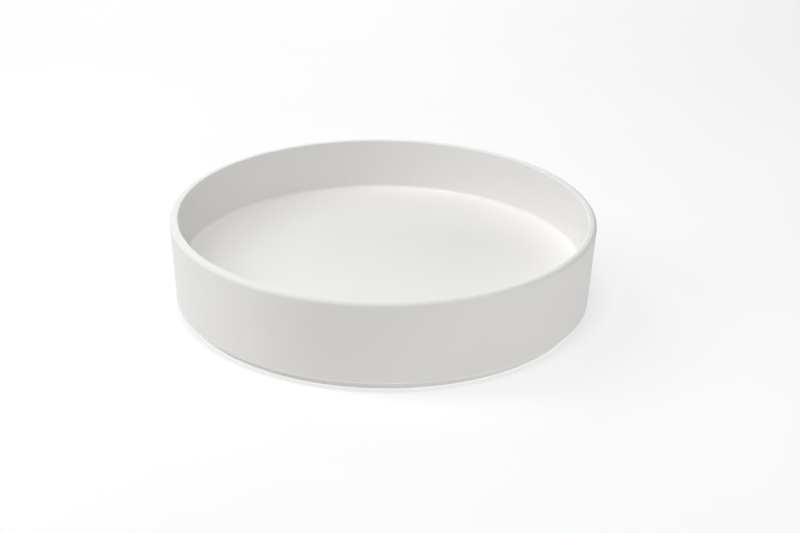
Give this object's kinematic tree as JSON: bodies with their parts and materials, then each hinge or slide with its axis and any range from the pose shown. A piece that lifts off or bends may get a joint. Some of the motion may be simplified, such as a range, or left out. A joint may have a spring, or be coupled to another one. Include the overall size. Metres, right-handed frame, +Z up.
{
  "type": "lazy susan turntable",
  "caption": "Round kitchen turntable: a deep plain tray with a rounded rim spins on caged balls over a low hidden base.",
  "frame": {"origin": "centre of the footprint, on the surface that the feet stand on", "axes": "+Z up along the spin axis; +X through the first foot"},
  "size_m": [0.28, 0.28, 0.062],
  "materials": {
    "tray_plastic": "satin",
    "base_plastic": "satin",
    "race_plastic": "satin",
    "cage_plastic": "satin",
    "bush_plastic": "satin",
    "ball_steel": "polished",
    "plated_steel": "zinc plated",
    "insert_brass": "knurled",
    "foot_rubber": "matt"
  },
  "bodies": {
    "base": {"base": "base_plastic", "lower_race": "race_plastic", "lower_race_screws": "plated_steel", "pivot_bush": "bush_plastic", "pivot_cap": "base_plastic", "foot_1": "foot_rubber", "foot_2": "foot_rubber", "foot_3": "foot_rubber", "foot_4": "foot_rubber", "foot_5": "foot_rubber", "foot_6": "foot_rubber"},
    "tray": {"tray": "tray_plastic", "upper_race": "race_plastic", "upper_race_screws": "plated_steel", "pivot_screw": "plated_steel", "pivot_washer": "plated_steel", "threaded_insert": "insert_brass"},
    "cage": {"ball_cage": "cage_plastic"},
    "ball_01": {"ball_01": "ball_steel"},
    "ball_02": {"ball_02": "ball_steel"},
    "ball_03": {"ball_03": "ball_steel"},
    "ball_04": {"ball_04": "ball_steel"},
    "ball_05": {"ball_05": "ball_steel"},
    "ball_06": {"ball_06": "ball_steel"},
    "ball_07": {"ball_07": "ball_steel"},
    "ball_08": {"ball_08": "ball_steel"},
    "ball_09": {"ball_09": "ball_steel"},
    "ball_10": {"ball_10": "ball_steel"},
    "ball_11": {"ball_11": "ball_steel"},
    "ball_12": {"ball_12": "ball_steel"},
    "ball_13": {"ball_13": "ball_steel"},
    "ball_14": {"ball_14": "ball_steel"},
    "ball_15": {"ball_15": "ball_steel"},
    "ball_16": {"ball_16": "ball_steel"}
  },
  "joints": [
    {"name": "turntable_spin", "type": "hinge", "parent": "base", "child": "tray", "pos_m": [0, 0, 0.012], "axis": [0, 0, 1], "continuous": true},
    {"name": "cage_spin", "type": "hinge", "parent": "base", "child": "cage", "pos_m": [0, 0, 0.015], "axis": [0, 0, 1], "continuous": true},
    {"name": "ball_01_roll", "type": "hinge", "parent": "cage", "child": "ball_01", "pos_m": [0.08, 0, 0.015], "axis": [1, 0, 0], "continuous": true},
    {"name": "ball_02_roll", "type": "hinge", "parent": "cage", "child": "ball_02", "pos_m": [0.07391, 0.03061, 0.015], "axis": [0.9239, 0.3827, 0], "continuous": true},
    {"name": "ball_03_roll", "type": "hinge", "parent": "cage", "child": "ball_03", "pos_m": [0.05657, 0.05657, 0.015], "axis": [0.7071, 0.7071, 0], "continuous": true},
    {"name": "ball_04_roll", "type": "hinge", "parent": "cage", "child": "ball_04", "pos_m": [0.03061, 0.07391, 0.015], "axis": [0.3827, 0.9239, 0], "continuous": true},
    {"name": "ball_05_roll", "type": "hinge", "parent": "cage", "child": "ball_05", "pos_m": [0, 0.08, 0.015], "axis": [0, 1, 0], "continuous": true},
    {"name": "ball_06_roll", "type": "hinge", "parent": "cage", "child": "ball_06", "pos_m": [-0.03061, 0.07391, 0.015], "axis": [-0.3827, 0.9239, 0], "continuous": true},
    {"name": "ball_07_roll", "type": "hinge", "parent": "cage", "child": "ball_07", "pos_m": [-0.05657, 0.05657, 0.015], "axis": [-0.7071, 0.7071, 0], "continuous": true},
    {"name": "ball_08_roll", "type": "hinge", "parent": "cage", "child": "ball_08", "pos_m": [-0.07391, 0.03061, 0.015], "axis": [-0.9239, 0.3827, 0], "continuous": true},
    {"name": "ball_09_roll", "type": "hinge", "parent": "cage", "child": "ball_09", "pos_m": [-0.08, 0, 0.015], "axis": [-1, 0, 0], "continuous": true},
    {"name": "ball_10_roll", "type": "hinge", "parent": "cage", "child": "ball_10", "pos_m": [-0.07391, -0.03061, 0.015], "axis": [-0.9239, -0.3827, 0], "continuous": true},
    {"name": "ball_11_roll", "type": "hinge", "parent": "cage", "child": "ball_11", "pos_m": [-0.05657, -0.05657, 0.015], "axis": [-0.7071, -0.7071, 0], "continuous": true},
    {"name": "ball_12_roll", "type": "hinge", "parent": "cage", "child": "ball_12", "pos_m": [-0.03061, -0.07391, 0.015], "axis": [-0.3827, -0.9239, 0], "continuous": true},
    {"name": "ball_13_roll", "type": "hinge", "parent": "cage", "child": "ball_13", "pos_m": [0, -0.08, 0.015], "axis": [0, -1, 0], "continuous": true},
    {"name": "ball_14_roll", "type": "hinge", "parent": "cage", "child": "ball_14", "pos_m": [0.03061, -0.07391, 0.015], "axis": [0.3827, -0.9239, 0], "continuous": true},
    {"name": "ball_15_roll", "type": "hinge", "parent": "cage", "child": "ball_15", "pos_m": [0.05657, -0.05657, 0.015], "axis": [0.7071, -0.7071, 0], "continuous": true},
    {"name": "ball_16_roll", "type": "hinge", "parent": "cage", "child": "ball_16", "pos_m": [0.07391, -0.03061, 0.015], "axis": [0.9239, -0.3827, 0], "continuous": true}
  ],
  "couplings": [
    {"joint": "cage_spin", "follows": "turntable_spin", "ratio": 0.5},
    {"joint": "ball_01_roll", "follows": "turntable_spin", "ratio": -13.333},
    {"joint": "ball_02_roll", "follows": "turntable_spin", "ratio": -13.333},
    {"joint": "ball_03_roll", "follows": "turntable_spin", "ratio": -13.333},
    {"joint": "ball_04_roll", "follows": "turntable_spin", "ratio": -13.333},
    {"joint": "ball_05_roll", "follows": "turntable_spin", "ratio": -13.333},
    {"joint": "ball_06_roll", "follows": "turntable_spin", "ratio": -13.333},
    {"joint": "ball_07_roll", "follows": "turntable_spin", "ratio": -13.333},
    {"joint": "ball_08_roll", "follows": "turntable_spin", "ratio": -13.333},
    {"joint": "ball_09_roll", "follows": "turntable_spin", "ratio": -13.333},
    {"joint": "ball_10_roll", "follows": "turntable_spin", "ratio": -13.333},
    {"joint": "ball_11_roll", "follows": "turntable_spin", "ratio": -13.333},
    {"joint": "ball_12_roll", "follows": "turntable_spin", "ratio": -13.333},
    {"joint": "ball_13_roll", "follows": "turntable_spin", "ratio": -13.333},
    {"joint": "ball_14_roll", "follows": "turntable_spin", "ratio": -13.333},
    {"joint": "ball_15_roll", "follows": "turntable_spin", "ratio": -13.333},
    {"joint": "ball_16_roll", "follows": "turntable_spin", "ratio": -13.333}
  ]
}
